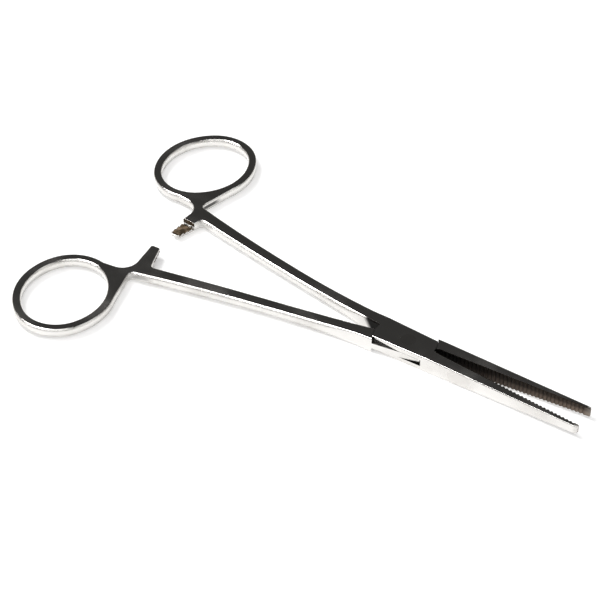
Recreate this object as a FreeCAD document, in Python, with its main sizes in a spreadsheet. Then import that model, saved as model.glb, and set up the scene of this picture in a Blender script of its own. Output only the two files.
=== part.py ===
import FreeCAD, Part
import math
import os
import Sketcher

# Haemostatic forceps with straight jaws, 140 mm long when closed, lengths in millimetres.
# The pivot axis is Z through the origin, +X points to the jaw tips, the box lock's underside is z = 0.
# Each half is drawn closed, on the mid-plane of its thickness, and turned open about the pivot.

# alias, value, meaning
DIMENSIONS = [
    ("half_opening", 3.6, "angle of each half from closed, as the forceps lie, degrees"),
    ("meeting_plane", 0.4, "y of the plane where the closed jaws meet"),
    ("jaw_face_gap", 0.06, "space left between the closed jaw faces"),
    ("jaw_reach", 46.4, "pivot to jaw tip"),
    ("jaw_root_reach", 9.0, "pivot to the start of the jaw's taper"),
    ("jaw_thinning_reach", 7.6, "pivot to the start of the jaw's thinning"),
    ("jaw_root_width", 3.3, "width of one jaw at its root"),
    ("jaw_tip_width", 1.0, "width of one jaw at its tip"),
    ("jaw_tip_thickness", 2.3, "thickness of the jaw at its tip"),
    ("jaw_tip_round", 0.55, "rounding of the jaw tip's outer corner"),
    ("serration_pitch", 1.0, "spacing of the grooves across the jaw faces"),
    ("serration_depth", 0.3, "depth of those grooves"),
    ("serration_margin", 0.9, "plain length left at each end of the grooved face"),
    ("box_thickness", 4.3, "thickness of the box lock"),
    ("box_far_side", 3.85, "pivot to the side of the box that carries the shank"),
    ("box_near_rear", 4.1, "pivot to the other side of the box, at its rear corner"),
    ("box_rear_radius", 8.5, "pivot to the rear edge of the box's plates"),
    ("box_front_radius", 7.0, "pivot to the front edge of the box's plates"),
    ("shoulder_gap", 0.12, "space between a plate's edge and the tongue's shoulder"),
    ("slot_height", 1.7, "height of the slot through the box"),
    ("slot_radius", 6.2, "pivot to the slot's end walls"),
    ("tongue_gap", 0.05, "running clearance on each side of the tongue"),
    ("tongue_front_side", 3.1, "pivot to the tongue's side at the front end of the slot"),
    ("pin_radius", 1.5, "radius of the pivot pin"),
    ("pin_head_radius", 1.9, "radius of the pin's riveted ends"),
    ("pin_head_depth", 0.5, "depth of the countersink that a riveted end fills"),
    ("pin_play", 0.04, "radial clearance of the tongue on the pin"),
    ("box_flat_reach", 8.0, "pivot to the start of the shank's thinning"),
    ("handle_thickness", 2.6, "thickness of the shank's end and of the ring"),
    ("shank_taper_end", 36.0, "pivot to the end of the shank's thinning"),
    ("crotch", 0.35, "distance from the centre line to a shank's inner edge at the box"),
    ("shank_outer_start", 12.0, "pivot to the start of the shank's outer curve"),
    ("shank_outer_radius", 450.0, "radius of the shank's outer edge"),
    ("shank_inner_radius", 900.0, "radius of the shank's inner edge"),
    ("ring_reach", 80.85, "pivot to the ring's centre, along X"),
    ("ring_side", 24.65, "ring's centre from the centre line"),
    ("ring_lean", 80.4, "angle of the ring's long axis from X, degrees"),
    ("finger_hole_length", 24.2, "long axis of the finger hole"),
    ("finger_hole_width", 20.5, "short axis of the finger hole"),
    ("finger_hole_end_radius", 9.0, "radius of the finger hole's ends"),
    ("ring_band", 2.05, "width of the ring's band"),
    ("notch_ahead", 9.76, "notch between shank and ring, ahead of the ring's centre"),
    ("notch_inside", 13.8, "that notch, inside the ring's centre"),
    ("web_tuck", 0.5, "how far the web's end lies inside the ring's widest place"),
    ("web_inside", 3.15, "end of the web along the ring, inside the ring's centre"),
    ("ratchet_ahead", 13.31, "front of the ratchet arm's root, ahead of the ring's centre"),
    ("ratchet_inside", 17.94, "front of that root, inside the ring's centre"),
    ("ratchet_width", 2.5, "width of the ratchet arm at its tip"),
    ("ratchet_lean", 1.85, "how far the arm's tip lies behind its root"),
    ("ratchet_root_width", 3.76, "width of the arm's root, along X"),
    ("ratchet_overhang", 0.55, "how far the closed arm's tip passes the centre line"),
    ("ratchet_step", 4.3, "distance from the centre line to the full-thickness part of the arm"),
    ("ratchet_gullet", 0.65, "length of the flat between the step and the first tooth"),
    ("ratchet_gap", 0.06, "clearance between the two arms' crests as they pass"),
    ("tooth_pitch", 1.3, "spacing of the ratchet teeth"),
    ("tooth_depth", 0.6, "height of the ratchet teeth"),
    ("ratchet_round", 4.0, "radius between the ratchet arm's back and the ring"),
    ("ratchet_tip_round", 0.5, "rounding of the arm's tip, seen from above"),
    ("notch_round", 1.2, "radius in the notches beside the shank"),
    ("edge_round", 0.3, "rounding of the long edges"),
]

TEETH = 4
PART_NAMES = ("box_half", "tongue_half", "pivot_pin")

os.makedirs("parts", exist_ok=True)
doc = FreeCAD.newDocument("hemostat_forceps")
sheet = doc.addObject("Spreadsheet::Sheet", "Dimensions")
working = doc.addObject("Spreadsheet::Sheet", "Working")
results = {}
for row, (alias, number, meaning) in enumerate(DIMENSIONS, start=1):
    sheet.set("A%d" % row, alias)
    sheet.set("B%d" % row, str(number))
    sheet.set("C%d" % row, meaning)
    sheet.setAlias("B%d" % row, alias)
doc.recompute()


def size(alias):
    """Value of one cell of the sheet."""
    return float(getattr(sheet, alias))


def cell(formula):
    """Formula in which each alias stands by itself, with the sheet's name put before it."""
    words = formula.split()
    known = {alias for alias, number, meaning in DIMENSIONS}
    return " ".join("Dimensions." + word if word in known else word for word in words)


def number_of(formula):
    """What a formula comes to, worked out once in the one cell of a spare sheet."""
    if formula not in results:
        working.set("A1", "=" + cell(formula))
        working.recompute()
        result = working.get("A1")
        results[formula] = float(getattr(result, "Value", result))
    return results[formula]


def new_body(name, opening):
    """Body drawn about the mid-plane, lifted so that the box's underside is at z = 0, and turned open."""
    body = doc.addObject("PartDesign::Body", name)
    body.Label = name
    body.setExpression("Placement.Base.z", cell("box_thickness / 2"))
    body.setExpression("Placement.Rotation.Angle", cell(opening))
    return body


def new_sketch(body, name, plane="XY_Plane"):
    """Sketch on one of the body's own origin planes."""
    sketch = body.newObject("Sketcher::SketchObject", name)
    support = [item for item in body.Origin.OriginFeatures if item.Role == plane][0]
    sketch.AttachmentSupport = [(support, "")]
    sketch.MapMode = "FlatFace"
    return sketch


def mirrored(formula, side):
    """The same formula for side 1, and its opposite for side -1."""
    return formula if side == 1 else "( 0 - ( " + formula + " ) )"


def pin_down(sketch, geometry, end, formula_x, formula_y):
    """Fix one end of a line or curve at a place worked out in the sheet."""
    for kind, formula, axis in (("DistanceX", formula_x, -2), ("DistanceY", formula_y, -1)):
        if formula == "0":
            sketch.addConstraint(Sketcher.Constraint("PointOnObject", geometry, end, axis))
            continue
        constraint = Sketcher.Constraint(kind, -1, 1, geometry, end, number_of(formula))
        index = sketch.addConstraint(constraint)
        sketch.setExpression("Constraints[%d]" % index, cell(formula))


def arc_between(start, end, radius, turn):
    """Short arc from start to end. Turn 1 runs anticlockwise and turn -1 clockwise."""
    chord = end - start
    middle = (start + end) * 0.5
    across = FreeCAD.Vector(-chord.y, chord.x, 0).normalize()
    rise = math.sqrt(radius ** 2 - (chord.Length / 2) ** 2)
    centre = middle + across * rise * turn
    top = centre + (middle - centre).normalize() * radius
    return Part.Arc(start, top, end)


def draw_outline(sketch, corners):
    """Closed outline. A corner is x, y and, where an arc leaves it, a radius and a turn."""
    first = sketch.GeometryCount
    total = len(corners)
    points = [FreeCAD.Vector(number_of(item[0]), number_of(item[1]), 0) for item in corners]
    turns = [item[3] if len(item) > 2 else 1 for item in corners]
    for index, item in enumerate(corners):
        start = points[index]
        end = points[(index + 1) % total]
        if len(item) > 2:
            sketch.addGeometry(arc_between(start, end, number_of(item[2]), turns[index]))
        else:
            sketch.addGeometry(Part.LineSegment(start, end))
    for index, item in enumerate(corners):
        here = first + index
        following = (index + 1) % total
        start_end = 1 if turns[index] == 1 else 2
        next_start = 1 if turns[following] == 1 else 2
        joint = Sketcher.Constraint("Coincident", here, 3 - start_end, first + following, next_start)
        sketch.addConstraint(joint)
        pin_down(sketch, here, start_end, item[0], item[1])
        if len(item) > 2:
            fixed = sketch.addConstraint(Sketcher.Constraint("Radius", here, number_of(item[2])))
            sketch.setExpression("Constraints[%d]" % fixed, cell(item[2]))


def add_pad(body, name, sketch, thickness):
    pad = body.newObject("PartDesign::Pad", name)
    pad.Profile = sketch
    pad.SideType = "Symmetric"
    pad.setExpression("Length", cell(thickness))
    doc.recompute()
    return pad


def add_pocket(body, name, sketch, depth, symmetric=True, reverse=False):
    """Cut, which has to take something away from the body."""
    before = body.Tip.Shape.Volume
    pocket = body.newObject("PartDesign::Pocket", name)
    pocket.Profile = sketch
    pocket.SideType = "Symmetric" if symmetric else "One side"
    pocket.Reversed = reverse
    pocket.setExpression("Length", cell(depth))
    doc.recompute()
    if not body.Tip.Shape.Volume < before:
        raise RuntimeError(name + " cuts nothing from " + body.Label)
    return pocket


def on_circle(radius, side):
    """Distance along X of a point on a circle about the pivot that lies this far to one side."""
    return "sqrt( ( " + radius + " ) ^ 2 - ( " + side + " ) ^ 2 )"


def handle_corners(side):
    """Shank, ratchet arm and the web beside the ring, from the crotch round to the box's far side."""
    plain = [
        ("0 - " + on_circle("box_rear_radius", "crotch"), "crotch", "shank_inner_radius", -1),
        (ARM_ROOT, "ring_side - ratchet_inside"),
        (ARM_ROOT + " - ratchet_lean", "0 - ratchet_overhang"),
        (ARM_ROOT + " - ratchet_lean - ratchet_width", "0 - ratchet_overhang"),
        (ARM_ROOT + " - ratchet_root_width", RING_FOOT),
        ("0 - ring_reach + ring_band", RING_FOOT + " + 0.2 * ring_band"),
        ("0 - ring_reach", "ring_side"),
        (WEB_END, "ring_side - web_inside"),
        ("0 - ring_reach + notch_ahead", "ring_side - notch_inside", "shank_outer_radius", 1),
        ("0 - shank_outer_start", "box_far_side"),
    ]
    corners = []
    for item in plain:
        placed = (item[0], mirrored(item[1], side))
        if len(item) > 2:
            placed += (item[2], item[3] * side)
        corners.append(placed)
    return corners


def ring_corners(side, band):
    """Oval of four arcs, this far outside the finger hole, whose long axis leans as the ring does."""
    end_radius = "( finger_hole_end_radius + " + band + " )"
    along = "( " + END_CENTRE + " * ( 1 + " + end_radius + " / " + CENTRE_SPREAD + " ) )"
    across = "( " + SIDE_CENTRE + " * " + end_radius + " / " + CENTRE_SPREAD + " )"
    radii = (end_radius, CENTRE_SPREAD + " + " + end_radius)
    corners = []
    for index, (ahead, left) in enumerate(((1, -1), (1, 1), (-1, 1), (-1, -1))):
        place_x = "%d * %s * cos( ring_lean ) - %d * %s * sin( ring_lean )" % (ahead, along, left, across)
        place_y = "%d * %s * sin( ring_lean ) + %d * %s * cos( ring_lean )" % (ahead, along, left, across)
        centred_y = mirrored("ring_side + " + place_y, side)
        corners.append(("0 - ring_reach + " + place_x, centred_y, radii[index % 2], side))
    return corners


def add_ring(body, side):
    """Oval finger ring with the finger hole cut through it."""
    name = body.Label
    outline = new_sketch(body, name + "_ring_outline")
    draw_outline(outline, ring_corners(side, "ring_band"))
    add_pad(body, name + "_ring", outline, "box_thickness")
    hole = new_sketch(body, name + "_finger_hole_outline")
    draw_outline(hole, ring_corners(side, "0"))
    add_pocket(body, name + "_finger_hole", hole, "2 * box_thickness")


def thin_down(body):
    """Both flat sides fall away from the box, towards the jaw tip and towards the ring."""
    profile = new_sketch(body, body.Label + "_side_profile", "XZ_Plane")
    beyond_tip = "2 * jaw_reach - jaw_thinning_reach"
    beyond_ring = "0 - ring_reach - finger_hole_length"
    for side in (1, -1):
        above = mirrored("box_thickness", side)
        full = mirrored("box_thickness / 2", side)
        draw_outline(profile, [
            ("jaw_thinning_reach", full),
            (beyond_tip, mirrored("jaw_tip_thickness - box_thickness / 2", side)),
            (beyond_tip, above),
            ("jaw_thinning_reach", above),
        ])
        draw_outline(profile, [
            ("0 - box_flat_reach", full),
            ("0 - box_flat_reach", above),
            (beyond_ring, above),
            (beyond_ring, mirrored("handle_thickness / 2", side)),
            ("0 - shank_taper_end", mirrored("handle_thickness / 2", side), TAPER_RADIUS, side),
        ])
    add_pocket(body, body.Label + "_side_relief", profile, "4 * ring_side + 4 * finger_hole_length")


def upright_edges(body, spots):
    """Names of the upright edges of the body at these places in the plan."""
    names = []
    reach = size("edge_round")
    for formula_x, formula_y in spots:
        spot = FreeCAD.Vector(number_of(formula_x), number_of(formula_y), 0)
        for index, edge in enumerate(body.Tip.Shape.Edges, start=1):
            ends = [vertex.Point for vertex in edge.Vertexes]
            if len(ends) < 2 or abs(ends[0].z - ends[1].z) < reach:
                continue
            flat = [FreeCAD.Vector(end.x, end.y, 0) for end in ends]
            if flat[0].distanceToPoint(spot) < reach and flat[1].distanceToPoint(spot) < reach:
                names.append("Edge%d" % index)
    return names


def round_edges(body, name, names, radius):
    if not names:
        raise RuntimeError(name + " finds no edges")
    base = body.Tip
    fillet = body.newObject("PartDesign::Fillet", name)
    fillet.Base = (base, names)
    fillet.setExpression("Radius", cell(radius))
    doc.recompute()
    return fillet


def turns_on_pivot(edge):
    """True for the arcs about the pivot, which are the plates' own edges and stay sharp."""
    steps = (edge.FirstParameter, (edge.FirstParameter + edge.LastParameter) / 2, edge.LastParameter)
    radii = [math.hypot(edge.valueAt(step).x, edge.valueAt(step).y) for step in steps]
    return max(radii) - min(radii) < 0.01 and max(radii) < 2 * size("box_rear_radius")


def on_jaw_face(edge, side):
    """True for the edges of the grooved jaw face, which stay sharp."""
    face = size("meeting_plane") - side * size("jaw_face_gap") / 2
    box = edge.BoundBox
    return box.Center.x > 0 and abs(box.YMin - face) + abs(box.YMax - face) < 0.01


def rim_edges(body, side):
    """Names of the edges where an upper or lower face meets an upright one."""
    shape = body.Tip.Shape
    names = []
    for index, edge in enumerate(shape.Edges, start=1):
        if turns_on_pivot(edge) or on_jaw_face(edge, side):
            continue
        rises = []
        for face in shape.ancestorsOfType(edge, Part.Face):
            middle = edge.valueAt((edge.FirstParameter + edge.LastParameter) / 2)
            u, v = face.Surface.parameter(middle)
            rises.append(abs(face.normalAt(u, v).z))
        if len(rises) == 2 and max(rises) > 0.9 and min(rises) < 0.1:
            names.append("Edge%d" % index)
    return names


def add_hinge_hole(body, radius):
    """Plain round hole through the body, on the pivot axis."""
    circle = new_sketch(body, body.Label + "_hinge_circle")
    circle.addGeometry(Part.Circle(FreeCAD.Vector(), FreeCAD.Vector(0, 0, 1), number_of(radius)))
    circle.addConstraint(Sketcher.Constraint("Coincident", 0, 3, -1, 1))
    index = circle.addConstraint(Sketcher.Constraint("Radius", 0, number_of(radius)))
    circle.setExpression("Constraints[%d]" % index, cell(radius))
    add_pocket(body, body.Label + "_hinge_hole", circle, "2 * box_thickness")


def pin_profile(body):
    """Half section of the riveted pin, whose ends fill the countersinks in the box's plates."""
    profile = new_sketch(body, body.Label + "_pin_profile", "XZ_Plane")
    top = "box_thickness / 2"
    neck = "box_thickness / 2 - pin_head_depth"
    draw_outline(profile, [
        ("0", mirrored(top, -1)),
        ("pin_head_radius", mirrored(top, -1)),
        ("pin_radius", mirrored(neck, -1)),
        ("pin_radius", neck),
        ("pin_head_radius", top),
        ("0", top),
    ])
    return profile


def turn_about_pivot(body, kind, name):
    """Revolved pin for kind Revolution, or the hole that it fills for kind Groove."""
    profile = pin_profile(body)
    turned = body.newObject("PartDesign::" + kind, name)
    turned.Profile = profile
    turned.ReferenceAxis = (profile, ["V_Axis"])
    turned.Angle = 360
    doc.recompute()


def add_teeth(body, side):
    """Halve the ratchet arm's thickness and leave saw teeth that face the other arm."""
    profile = new_sketch(body, body.Label + "_tooth_profile", "YZ_Plane")
    place = ARM_ROOT + " - ratchet_lean - ratchet_width / 2"
    profile.setExpression("AttachmentOffset.Base.z", cell(place))
    crest = "0 - ratchet_gap / 2"
    root = crest + " - tooth_depth"
    outline = [("ratchet_step", "box_thickness"), ("ratchet_step", root)]
    for tooth in range(TEETH):
        steep = "ratchet_step - ratchet_gullet - %d * tooth_pitch" % tooth
        outline.append((steep, root))
        outline.append((steep, crest))
    outline.append(("ratchet_step - ratchet_gullet - %d * tooth_pitch" % TEETH, root))
    outline.append(("0 - 2 * ratchet_overhang - tooth_pitch", root))
    outline.append(("0 - 2 * ratchet_overhang - tooth_pitch", "box_thickness"))
    draw_outline(profile, [(mirrored(across, side), mirrored(up, side)) for across, up in outline])
    add_pocket(body, body.Label + "_teeth", profile, "4 * ratchet_width")


def add_serrations(body, side):
    """Row of V grooves across the jaw's flat face."""
    face = "meeting_plane - " + mirrored("jaw_face_gap / 2", side)
    start = "box_front_radius + serration_margin + serration_pitch"
    if side == -1:
        start += " - serration_pitch / 2"
    groove = new_sketch(body, body.Label + "_groove")
    draw_outline(groove, [
        (start + " - serration_pitch / 2", face + " + " + mirrored("jaw_face_gap", side)),
        (start, face + " - " + mirrored("serration_depth", side)),
        (start + " + serration_pitch / 2", face + " + " + mirrored("jaw_face_gap", side)),
    ])
    first = add_pocket(body, body.Label + "_first_groove", groove, "2 * box_thickness")
    row = body.newObject("PartDesign::LinearPattern", body.Label + "_grooves")
    row.Originals = [first]
    row.Direction = (groove, ["H_Axis"])
    row.Mode = "Spacing"
    row.setExpression("Offset", cell("serration_pitch"))
    count = "( jaw_reach - box_front_radius - 2 * serration_margin ) / serration_pitch"
    row.setExpression("Occurrences", cell("floor( " + count + " )"))
    body.Tip = row
    doc.recompute()


def finish_half(body, side):
    """What both halves share once their plan is padded: ring, thinning, rounding, teeth, grooves."""
    name = body.Label
    add_ring(body, side)
    thin_down(body)
    arm_tip = mirrored("0 - ratchet_overhang", side)
    jaw_back = "meeting_plane - " + mirrored("jaw_tip_width", side)
    round_edges(body, name + "_notches", upright_edges(body, [
        ("0 - ring_reach + notch_ahead", mirrored("ring_side - notch_inside", side)),
        (ARM_ROOT, mirrored("ring_side - ratchet_inside", side)),
    ]), "notch_round")
    round_edges(body, name + "_ratchet_root", upright_edges(body, [
        (ARM_ROOT + " - ratchet_root_width", mirrored(RING_FOOT, side)),
    ]), "ratchet_round")
    round_edges(body, name + "_ratchet_tip", upright_edges(body, [
        (ARM_ROOT + " - ratchet_lean", arm_tip),
        (ARM_ROOT + " - ratchet_lean - ratchet_width", arm_tip),
    ]), "ratchet_tip_round")
    round_edges(body, name + "_jaw_tip", upright_edges(body, [("jaw_reach", jaw_back)]), "jaw_tip_round")
    round_edges(body, name + "_rims", rim_edges(body, side), "edge_round")
    add_teeth(body, side)
    add_serrations(body, side)


TAPER_RADIUS = (
    "( ( shank_taper_end - box_flat_reach ) ^ 2 + ( ( box_thickness - handle_thickness ) / 2 ) ^ 2 )"
    " / ( box_thickness - handle_thickness )"
)
TONGUE_RADIUS = "slot_radius - tongue_gap"
ARM_ROOT = "0 - ring_reach + ratchet_ahead"
WEB_END = "0 - ring_reach + finger_hole_width / 2 + ring_band - web_tuck"
END_CENTRE = "( finger_hole_length / 2 - finger_hole_end_radius )"
SIDE_CENTRE = ("( ( " + END_CENTRE + " ^ 2 - ( finger_hole_width / 2 - finger_hole_end_radius ) ^ 2 )"
               " / ( finger_hole_width - 2 * finger_hole_end_radius ) )")
CENTRE_SPREAD = "sqrt( " + END_CENTRE + " ^ 2 + " + SIDE_CENTRE + " ^ 2 )"
RING_FOOT = "ring_side - finger_hole_length / 2 - ring_band"

body = new_body("box_half", "0 - half_opening")
plan = new_sketch(body, "box_half_plan")
face = "meeting_plane - jaw_face_gap / 2"
draw_outline(plan, [
    (on_circle("box_front_radius", "box_far_side"), "box_far_side", "box_front_radius", -1),
    (on_circle("box_front_radius", face), face),
    ("jaw_reach", face),
    ("jaw_reach", "meeting_plane - jaw_tip_width"),
    ("jaw_root_reach", "meeting_plane - jaw_root_width"),
    ("0 - " + on_circle("box_rear_radius", "box_near_rear"), "0 - box_near_rear", "box_rear_radius", -1),
] + handle_corners(1))
add_pad(body, "box_half_blank", plan, "box_thickness")
finish_half(body, 1)
past_side = "1.2 * box_far_side"
slot = new_sketch(body, "box_half_slot_outline")
draw_outline(slot, [
    ("0 - 1.2 * box_rear_radius", "crotch"),
    ("0 - " + on_circle("slot_radius", "crotch"), "crotch", "slot_radius", -1),
    ("0 - " + on_circle("slot_radius", past_side), past_side),
    ("0 - " + on_circle("slot_radius", past_side), "2 * box_far_side"),
    ("1.2 * box_rear_radius", "2 * box_far_side"),
    ("1.2 * box_rear_radius", "meeting_plane"),
    (on_circle("slot_radius", "meeting_plane"), "meeting_plane", "slot_radius", -1),
    (on_circle("slot_radius", "box_near_rear"), "0 - box_near_rear"),
    (on_circle("slot_radius", "box_near_rear"), "0 - 2 * box_near_rear"),
    ("0 - 1.2 * box_rear_radius", "0 - 2 * box_near_rear"),
])
add_pocket(body, "box_half_slot", slot, "slot_height")
turn_about_pivot(body, "Groove", "box_half_pin_hole")

body = new_body("tongue_half", "half_opening")
plan = new_sketch(body, "tongue_half_plan")
face = "meeting_plane + jaw_face_gap / 2"
draw_outline(plan, handle_corners(-1) + [
    ("0 - " + on_circle("box_rear_radius", "box_near_rear"), "0 - box_near_rear"),
    (on_circle(TONGUE_RADIUS, "tongue_front_side"), "0 - tongue_front_side", TONGUE_RADIUS, 1),
    (on_circle(TONGUE_RADIUS, face), face),
    ("jaw_reach", face),
    ("jaw_reach", "meeting_plane + jaw_tip_width"),
    ("jaw_root_reach", "meeting_plane + jaw_root_width"),
    (on_circle("box_front_radius", "box_far_side"), "box_far_side"),
    ("0 - " + on_circle(TONGUE_RADIUS, "box_far_side"), "box_far_side", TONGUE_RADIUS, 1),
    ("0 - " + on_circle(TONGUE_RADIUS, "crotch"), "0 - crotch"),
])
add_pad(body, "tongue_half_blank", plan, "box_thickness")
finish_half(body, -1)
shoulders = new_sketch(body, "tongue_half_shoulders")
shoulders.setExpression("AttachmentOffset.Base.z", cell("slot_height / 2 - tongue_gap"))
rear = "box_rear_radius + shoulder_gap"
front = "box_front_radius + shoulder_gap"
draw_outline(shoulders, [
    ("0", rear, rear, 1),
    (mirrored(rear, -1), "0", rear, 1),
    ("0", mirrored(rear, -1)),
    ("0", mirrored(front, -1), front, 1),
    (front, "0", front, 1),
    ("0", front),
])
upper = add_pocket(body, "tongue_half_upper_relief", shoulders, "box_thickness", symmetric=False,
                   reverse=True)
both = body.newObject("PartDesign::Mirrored", "tongue_half_reliefs")
both.Originals = [upper]
both.MirrorPlane = ([item for item in body.Origin.OriginFeatures if item.Role == "XY_Plane"][0], [""])
body.Tip = both
doc.recompute()
add_hinge_hole(body, "pin_radius + pin_play")

body = new_body("pivot_pin", "0 - half_opening")
turn_about_pivot(body, "Revolution", "pivot_pin_turning")

working.clear("A1")
doc.recompute()
for item in doc.Objects:
    if "Invalid" in item.State or "Error" in item.State:
        raise RuntimeError("%s is in state %s" % (item.Name, item.State))
for name in PART_NAMES:
    piece = doc.getObjectsByLabel(name)[0]
    shape = piece.Shape
    if shape.isNull() or not shape.isValid() or len(shape.Solids) != 1:
        raise RuntimeError(name + " isn't one valid solid")
    shape.exportStep("parts/" + name + ".step")
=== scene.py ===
import math
import bpy
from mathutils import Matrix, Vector

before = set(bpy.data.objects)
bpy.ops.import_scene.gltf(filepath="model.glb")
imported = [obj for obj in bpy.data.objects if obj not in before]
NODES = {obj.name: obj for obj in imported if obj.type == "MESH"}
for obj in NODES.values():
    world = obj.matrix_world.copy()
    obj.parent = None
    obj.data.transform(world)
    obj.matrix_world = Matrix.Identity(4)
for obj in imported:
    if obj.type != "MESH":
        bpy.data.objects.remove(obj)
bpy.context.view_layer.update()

MM = 0.001

# Camera, fitted to the outline in the photograph
CAMERA_AT = Vector((175.4, -315.7, 333.7)) * MM
CAMERA_TARGET = Vector((-31.7, 2.0, 0.0)) * MM
CAMERA_LENS = 124.6
SENSOR_WIDTH = 36.0
NEAREST_SEEN = 0.01
FARTHEST_SEEN = 20.0

# Places on the halves, which lie turned open by this angle
HALF_OPENING = math.radians(3.6)
MID_HEIGHT = 2.15 * MM
MEETING_PLANE = 0.4 * MM
JAW_ROOT = 7.4 * MM
JAW_TIP = 46.4 * MM
CROTCH_SLANT = 0.6
NOTCH_X = -71.1 * MM
NOTCH_Y = 10.85 * MM

# Edges between two finishes, or between the steel and painted shade: where each lies, and the width over
# which it fades
UPRIGHT = (0.9, 0.1)
BESIDE_TOP = (0.985, 0.02)
ENDWISE = (0.5, 0.2)
GROOVE_DEPTH = (0.36 * MM, 0.06 * MM)
GROOVES_START = (JAW_ROOT, 0.6 * MM)
SLOT_HALF_HEIGHT = (0.9 * MM, 0.06 * MM)
SLOT_RADIUS = (6.4 * MM, 0.1 * MM)
SHOULDER_RADIUS = (9.3 * MM, 0.2 * MM)
CROTCH_HALF_WIDTH = (2.3 * MM, 0.8 * MM)
CROTCH_RADIUS = (12.0 * MM, 2.0 * MM)
TOOTHED_LAYER = (0.75 * MM, 0.1 * MM)
TEETH_FACE_UP = (0.2, 0.1)
STEP_FOOT = (MID_HEIGHT + 0.1 * MM, 0.1 * MM)
RATCHET_START = (-60.0 * MM, 1.0 * MM)
RATCHET_STEP = (4.35 * MM, 0.1 * MM)
NOTCH_SPREAD = (6.0 * MM, 3.0 * MM)
NOTCH_START = (NOTCH_X - 0.6 * MM, 0.6 * MM)
NOTCH_BAND = (0.5 * MM, 0.3 * MM)

# Share of painted dark reflection in the notch between ring and shank, on each half
PAINTED_REFLECTION_SHARE = {1: 0.85, -1: 0.4}

# Metals
STEEL = (0.755, 0.74, 0.717, 1.0)
STEEL_SMUDGED = (0.665, 0.645, 0.62, 1.0)
RIVET_STEEL = (0.70, 0.68, 0.655, 1.0)
# Grooved jaw face: its own darker brown, with painted shade that makes it near black at the jaw's root and
# along its top
GROOVE_PAINTED_SHADE = (0.012, 0.010, 0.008, 1.0)
GROOVE_TIP = (0.16, 0.125, 0.10, 1.0)
GROOVE_WORN = (0.34, 0.30, 0.26, 1.0)
# Near-black painted shade and painted dark reflection for the slot, crotch, shoulders and ring notch
PAINTED_SHADE_AND_REFLECTION_TONE = (0.012, 0.011, 0.010, 1.0)
RATCHET_DARK = (0.035, 0.026, 0.016, 1.0)
RATCHET_BROWN = (0.13, 0.095, 0.065, 1.0)
POLISH = 0.11
SMUDGE = 0.27
DULLER = 0.39
WORN_EDGE = 0.25 * MM
WORN_WALL = 2.4 * MM
WORN_SAMPLES = 8
MARK_STRENGTH = 0.10
MARK_DEPTH = 0.01 * MM

# Noise on the metal: scale, detail and stretch along the axes
SMUDGES = (90.0, 4.0, (1.0, 1.0, 1.0))
WIPED = (260.0, 3.0, (0.35, 1.0, 1.0))
POLISHING_MARKS = (1500.0, 2.0, (0.06, 1.0, 1.0))
STAINS = (900.0, 3.0, (1.0, 1.0, 1.0))

# Gradual changes: lowest and highest value, and what the result is at each of them
SMUDGED = (0.48, 0.72, 0.0, 1.0)
SMUDGE_ROUGHNESS = (0.42, 0.7, POLISH, SMUDGE)
WIPED_ROUGHNESS = (0.35, 0.75, -0.02, 0.03)
STAINED = (0.4, 0.62, 0.0, 1.0)
# Painted shade on the grooves fades along the jaw and downwards
ALONG_JAW = (JAW_ROOT, JAW_TIP, 0.0, 1.0)
LOW_ON_JAW = (MID_HEIGHT - 0.3 * MM, MID_HEIGHT + 0.5 * MM, 1.0, 0.3)
RUBBED = (JAW_TIP - 2.0 * MM, JAW_TIP, 0.0, 0.5)
DULL_TIP = (JAW_TIP - 1.6 * MM, JAW_TIP - 0.6 * MM, 0.0, 1.0)
WORN_REACH = (0.3, 0.9, WORN_WALL, WORN_EDGE)
WORN_BEHIND_BOX = (-20.0 * MM, -12.0 * MM, 1.0, 0.0)

# Floor and surroundings
FLOOR_HALF = 1.6
FLOOR_DROP = 0.02 * MM
PAPER = (0.85, 0.85, 0.85, 1.0)
WHITE = (1.0, 1.0, 1.0, 1.0)
LIFT_TO_WHITE = 0.38
SURROUND_COLOUR = (1.0, 0.985, 0.96, 1.0)
SURROUND_SHADE = (0.10, 0.42, 0.85, 0.042)

# Lamps: name, azimuth and elevation in degrees, width in metres and power in watts
LAMP_DISTANCE = 1.1
LAMPS = (
    ("left_softbox", -80, 60, 0.45, 7.5),
    ("front_softbox", 10, 62, 0.80, 5.0),
    ("right_softbox", 100, 40, 0.60, 1.5),
)


def new_material(name):
    material = bpy.data.materials.new(name)
    material.use_nodes = True
    tree = material.node_tree
    tree.nodes.clear()
    return material, tree


def link(tree, start, socket, end, target):
    tree.links.new(start.outputs[socket], end.inputs[target])


def math_node(tree, operation, first, second=None):
    node = tree.nodes.new("ShaderNodeMath")
    node.operation = operation
    for index, value in enumerate((first, second)):
        if value is None:
            continue
        if isinstance(value, (int, float)):
            node.inputs[index].default_value = value
        else:
            tree.links.new(value, node.inputs[index])
    return node.outputs["Value"]


def apart(tree, value, other):
    """Distance between two values."""
    return math_node(tree, "ABSOLUTE", math_node(tree, "SUBTRACT", value, other))


def length(tree, first, second):
    """Length of a vector from its two parts."""
    squares = [math_node(tree, "POWER", part, 2.0) for part in (first, second)]
    return math_node(tree, "POWER", math_node(tree, "ADD", *squares), 0.5)


def all_of(tree, first, *others):
    """Product of several masks."""
    for other in others:
        first = math_node(tree, "MULTIPLY", first, other)
    return first


def any_of(tree, first, *others):
    """Highest of several masks."""
    for other in others:
        first = math_node(tree, "MAXIMUM", first, other)
    return first


def noise(tree, coordinates, pattern):
    """Noise in the piece's own space."""
    scale, detail, stretch = pattern
    mapping = tree.nodes.new("ShaderNodeMapping")
    mapping.inputs["Scale"].default_value = stretch
    link(tree, coordinates, "Object", mapping, "Vector")
    texture = tree.nodes.new("ShaderNodeTexNoise")
    texture.inputs["Scale"].default_value = scale
    texture.inputs["Detail"].default_value = detail
    link(tree, mapping, "Vector", texture, "Vector")
    return texture.outputs["Fac"]


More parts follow.
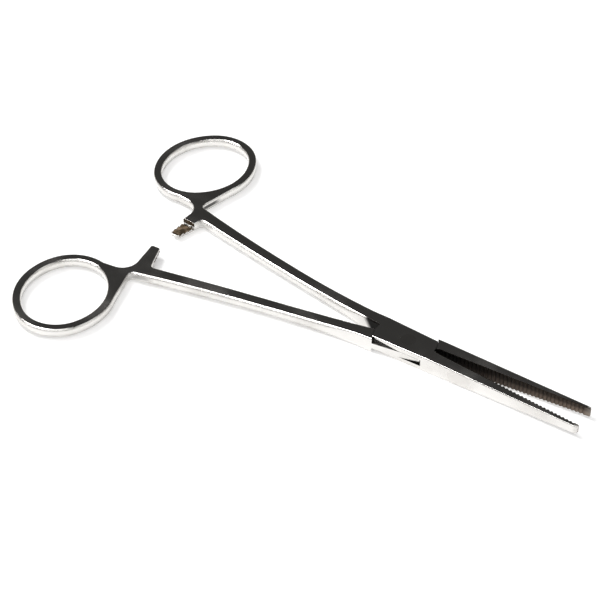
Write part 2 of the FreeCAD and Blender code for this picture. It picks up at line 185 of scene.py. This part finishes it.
def graded(tree, value, change):
    """Smooth change of the result while the value runs from its lowest to its highest."""
    node = tree.nodes.new("ShaderNodeMapRange")
    node.interpolation_type = "SMOOTHSTEP"
    for name, number in zip(("From Min", "From Max", "To Min", "To Max"), change):
        node.inputs[name].default_value = number
    tree.links.new(value, node.inputs["Value"])
    return node.outputs["Result"]


def above(tree, value, edge):
    """1 where the value is above the edge and 0 below it."""
    middle, fade = edge
    return graded(tree, value, (middle - fade / 2, middle + fade / 2, 0.0, 1.0))


def below(tree, value, edge):
    """1 where the value is below the edge and 0 above it."""
    middle, fade = edge
    return graded(tree, value, (middle - fade / 2, middle + fade / 2, 1.0, 0.0))


def mixed_colour(tree, factor, first, second):
    node = tree.nodes.new("ShaderNodeMix")
    node.data_type = "RGBA"
    tree.links.new(factor, node.inputs["Factor"])
    for name, value in (("A", first), ("B", second)):
        socket = [item for item in node.inputs if item.name == name and item.type == "RGBA"][0]
        if isinstance(value, tuple):
            socket.default_value = value
        else:
            tree.links.new(value, socket)
    return [item for item in node.outputs if item.type == "RGBA"][0]


class Half:
    """Where a point of a half lies. Side is +1 for the half whose ring lies at +Y and -1 for the other."""

    def __init__(self, tree, coordinates, side):
        place = tree.nodes.new("ShaderNodeSeparateXYZ")
        link(tree, coordinates, "Object", place, "Vector")
        facing = tree.nodes.new("ShaderNodeSeparateXYZ")
        link(tree, coordinates, "Normal", facing, "Vector")
        turned = -side * HALF_OPENING
        self.tree = tree
        self.side = side
        self.x, self.y, self.z = place.outputs
        self.closed_y = math_node(tree, "ADD", math_node(tree, "MULTIPLY", self.x, -math.sin(turned)),
                                  math_node(tree, "MULTIPLY", self.y, math.cos(turned)))
        self.inward = math_node(tree, "MULTIPLY", self.closed_y, side)
        self.off_middle = apart(tree, self.z, MID_HEIGHT)
        self.radius = length(tree, self.x, self.y)
        self.upward = facing.outputs["Z"]
        self.slope = math_node(tree, "ABSOLUTE", self.upward)
        self.upright = below(tree, self.slope, UPRIGHT)
        self.endwise = above(tree, math_node(tree, "ABSOLUTE", facing.outputs["X"]), ENDWISE)

    def grooves(self):
        """Grooved face of the jaw."""
        depth = apart(self.tree, self.closed_y, MEETING_PLANE)
        return all_of(self.tree, below(self.tree, depth, GROOVE_DEPTH),
                      above(self.tree, self.x, GROOVES_START))

    def slot(self):
        """Inside of the slot through the box, which is painted dark as shade."""
        return all_of(self.tree, below(self.tree, self.off_middle, SLOT_HALF_HEIGHT),
                      below(self.tree, self.radius, SLOT_RADIUS))

    def shoulders(self):
        """Ends of the box and of the parts that turn against them, painted dark as a dark reflection."""
        return all_of(self.tree, self.endwise, self.upright, below(self.tree, self.radius, SHOULDER_RADIUS))

    def crotch(self):
        """Corner between the shanks behind the box, painted in shade, which reaches further out at its top.
        """
        height = math_node(self.tree, "SUBTRACT", self.z, MID_HEIGHT)
        lean = math_node(self.tree, "MULTIPLY", height, CROTCH_SLANT)
        inner_radius = math_node(self.tree, "SUBTRACT", self.radius, lean)
        off_centre = math_node(self.tree, "ABSOLUTE", self.y)
        return all_of(self.tree, below(self.tree, self.slope, BESIDE_TOP),
                      below(self.tree, off_centre, CROTCH_HALF_WIDTH),
                      below(self.tree, inner_radius, CROTCH_RADIUS))

    def painted_dark_reflection(self):
        """Dark reflection painted in the notch between ring and shank."""
        from_notch = length(self.tree, math_node(self.tree, "SUBTRACT", self.x, NOTCH_X),
                            math_node(self.tree, "SUBTRACT", self.inward, NOTCH_Y))
        spread = all_of(self.tree, below(self.tree, from_notch, NOTCH_SPREAD), self.upright,
                        above(self.tree, self.x, NOTCH_START), below(self.tree, self.off_middle, NOTCH_BAND))
        return math_node(self.tree, "MULTIPLY", spread, PAINTED_REFLECTION_SHARE[self.side])

    def painted_shade_and_reflection(self):
        """Places painted dark as shade and as dark reflection: shoulders, crotch, ring notch and, on the
        slotted half, the slot.
        """
        places = [self.shoulders(), self.crotch(), self.painted_dark_reflection()]
        if self.side == 1:
            places.append(self.slot())
        return any_of(self.tree, *places)

    def ratchet(self):
        """Toothed face of the ratchet arm, and the step behind it on the half whose teeth look up."""
        toothed = below(self.tree, self.off_middle, TOOTHED_LAYER)
        if self.side == 1:
            toothed = all_of(self.tree, toothed, above(self.tree, self.upward, TEETH_FACE_UP))
            toothed = any_of(self.tree, toothed, above(self.tree, self.z, STEP_FOOT))
        return all_of(self.tree, toothed, below(self.tree, self.x, RATCHET_START),
                      below(self.tree, self.inward, RATCHET_STEP))

    def worn(self):
        """Reach of the worn edges, which round off the walls more than the flat sides and end at the box."""
        return math_node(self.tree, "MULTIPLY", graded(self.tree, self.slope, WORN_REACH),
                         graded(self.tree, self.x, WORN_BEHIND_BOX))


def half_finish(tree, coordinates, side, tone, spread):
    """Darker, duller grooves with painted shade at their root and top, painted shade and painted dark
    reflection in the crevices, and ratchet teeth over the plain steel of a half.
    """
    half = Half(tree, coordinates, side)
    grooves = half.grooves()
    painted_shade_and_reflection = half.painted_shade_and_reflection()
    ratchet = half.ratchet()
    # Painted shade on the grooves: darkest at the root and high on the jaw, the face's own brown towards the
    # tip and bottom
    clear_of_painted_shade = all_of(tree, graded(tree, half.x, ALONG_JAW), graded(tree, half.z, LOW_ON_JAW))
    groove_tone_and_shade = mixed_colour(tree, clear_of_painted_shade, GROOVE_PAINTED_SHADE, GROOVE_TIP)
    groove_tone_and_shade = mixed_colour(tree, graded(tree, half.x, RUBBED), groove_tone_and_shade, GROOVE_WORN)
    tone = mixed_colour(tree, grooves, tone, groove_tone_and_shade)
    stains = graded(tree, noise(tree, coordinates, STAINS), STAINED)
    tone = mixed_colour(tree, ratchet, tone, mixed_colour(tree, stains, RATCHET_DARK, RATCHET_BROWN))
    # Painted shade and painted dark reflection over the crevices
    tone = mixed_colour(tree, painted_shade_and_reflection, tone, PAINTED_SHADE_AND_REFLECTION_TONE)
    dull = any_of(tree, grooves, painted_shade_and_reflection, ratchet, graded(tree, half.x, DULL_TIP))
    spread = math_node(tree, "ADD", spread, math_node(tree, "MULTIPLY", dull, DULLER))
    rounding = tree.nodes.new("ShaderNodeBevel")
    rounding.samples = WORN_SAMPLES
    tree.links.new(half.worn(), rounding.inputs["Radius"])
    return tone, spread, rounding


def polished_steel(name, colour, side=0):
    """Bare polished steel with faint polishing marks and smudges; on a half, grooves, ratchet teeth and
    painted shade and dark reflection are added. Side is 0 for the rivet.
    """
    material, tree = new_material(name)
    coordinates = tree.nodes.new("ShaderNodeTexCoord")
    smudges = noise(tree, coordinates, SMUDGES)
    tone = mixed_colour(tree, graded(tree, smudges, SMUDGED), colour, STEEL_SMUDGED)
    spread = math_node(tree, "ADD", graded(tree, smudges, SMUDGE_ROUGHNESS),
                       graded(tree, noise(tree, coordinates, WIPED), WIPED_ROUGHNESS))
    relief = tree.nodes.new("ShaderNodeBump")
    if side:
        tone, spread, rounding = half_finish(tree, coordinates, side, tone, spread)
        link(tree, rounding, "Normal", relief, "Normal")
    relief.inputs["Strength"].default_value = MARK_STRENGTH
    relief.inputs["Distance"].default_value = MARK_DEPTH
    tree.links.new(noise(tree, coordinates, POLISHING_MARKS), relief.inputs["Height"])
    shader = tree.nodes.new("ShaderNodeBsdfPrincipled")
    shader.inputs["Metallic"].default_value = 1.0
    tree.links.new(tone, shader.inputs["Base Color"])
    tree.links.new(spread, shader.inputs["Roughness"])
    link(tree, relief, "Normal", shader, "Normal")
    output = tree.nodes.new("ShaderNodeOutputMaterial")
    link(tree, shader, "BSDF", output, "Surface")
    return material


def floor_material():
    """Pale paper that still shows the shadow. What the eye and the metal see of it is lifted to white."""
    material, tree = new_material("pale_floor")
    paper = tree.nodes.new("ShaderNodeBsdfDiffuse")
    paper.inputs["Color"].default_value = PAPER
    glow = tree.nodes.new("ShaderNodeEmission")
    glow.inputs["Color"].default_value = WHITE
    path = tree.nodes.new("ShaderNodeLightPath")
    rays = [path.outputs[name] for name in ("Is Camera Ray", "Is Glossy Ray", "Is Transmission Ray")]
    lift = math_node(tree, "MULTIPLY", any_of(tree, *rays), LIFT_TO_WHITE)
    tree.links.new(lift, glow.inputs["Strength"])
    both = tree.nodes.new("ShaderNodeAddShader")
    tree.links.new(paper.outputs["BSDF"], both.inputs[0])
    tree.links.new(glow.outputs["Emission"], both.inputs[1])
    output = tree.nodes.new("ShaderNodeOutputMaterial")
    link(tree, both, "Shader", output, "Surface")
    return material


def dress(node, material):
    node.data.materials.clear()
    node.data.materials.append(material)


def soft_lamp(name, azimuth, elevation, width, power):
    """Square lamp that faces the object. Azimuth 0 is in front of it, on the side of the near ring."""
    data = bpy.data.lights.new(name, "AREA")
    data.shape = "SQUARE"
    data.size = width
    data.energy = power
    lamp = bpy.data.objects.new(name, data)
    turn = math.radians(azimuth)
    rise = math.radians(elevation)
    away = Vector((math.sin(turn) * math.cos(rise), -math.cos(turn) * math.cos(rise), math.sin(rise)))
    lamp.location = away * LAMP_DISTANCE
    lamp.rotation_euler = away.to_track_quat("Z", "Y").to_euler()
    bpy.context.scene.collection.objects.link(lamp)


# Halves and rivet
dress(NODES["box_half"], polished_steel("steel_of_slotted_half", STEEL, 1))
dress(NODES["tongue_half"], polished_steel("steel_of_tongue_half", STEEL, -1))
dress(NODES["pivot_pin"], polished_steel("steel_of_rivet", RIVET_STEEL))

# Floor
mesh = bpy.data.meshes.new("floor")
corners = [(-FLOOR_HALF, -FLOOR_HALF, 0), (FLOOR_HALF, -FLOOR_HALF, 0),
           (FLOOR_HALF, FLOOR_HALF, 0), (-FLOOR_HALF, FLOOR_HALF, 0)]
mesh.from_pydata(corners, [], [(0, 1, 2, 3)])
floor = bpy.data.objects.new("floor", mesh)
floor.location.z = -FLOOR_DROP
floor.data.materials.append(floor_material())
bpy.context.scene.collection.objects.link(floor)

# Lamps
for lamp_row in LAMPS:
    soft_lamp(*lamp_row)

# Surroundings: pale low down, like the floor and the lower walls, and dark above
world = bpy.data.worlds.new("studio")
bpy.context.scene.world = world
world.use_nodes = True
world_tree = world.node_tree
world_tree.nodes.clear()
direction = world_tree.nodes.new("ShaderNodeTexCoord")
height = world_tree.nodes.new("ShaderNodeSeparateXYZ")
link(world_tree, direction, "Generated", height, "Vector")
surround = world_tree.nodes.new("ShaderNodeBackground")
surround.inputs["Color"].default_value = SURROUND_COLOUR
shade = graded(world_tree, height.outputs["Z"], SURROUND_SHADE)
world_tree.links.new(shade, surround.inputs["Strength"])
world_output = world_tree.nodes.new("ShaderNodeOutputWorld")
link(world_tree, surround, "Background", world_output, "Surface")

# Camera
camera_data = bpy.data.cameras.new("camera")
camera_data.lens = CAMERA_LENS
camera_data.sensor_width = SENSOR_WIDTH
camera_data.clip_start = NEAREST_SEEN
camera_data.clip_end = FARTHEST_SEEN
camera = bpy.data.objects.new("camera", camera_data)
camera.location = CAMERA_AT
camera.rotation_euler = (CAMERA_AT - CAMERA_TARGET).to_track_quat("Z", "Y").to_euler()
bpy.context.scene.collection.objects.link(camera)
bpy.context.scene.camera = camera
bpy.context.scene.view_settings.view_transform = "Standard"
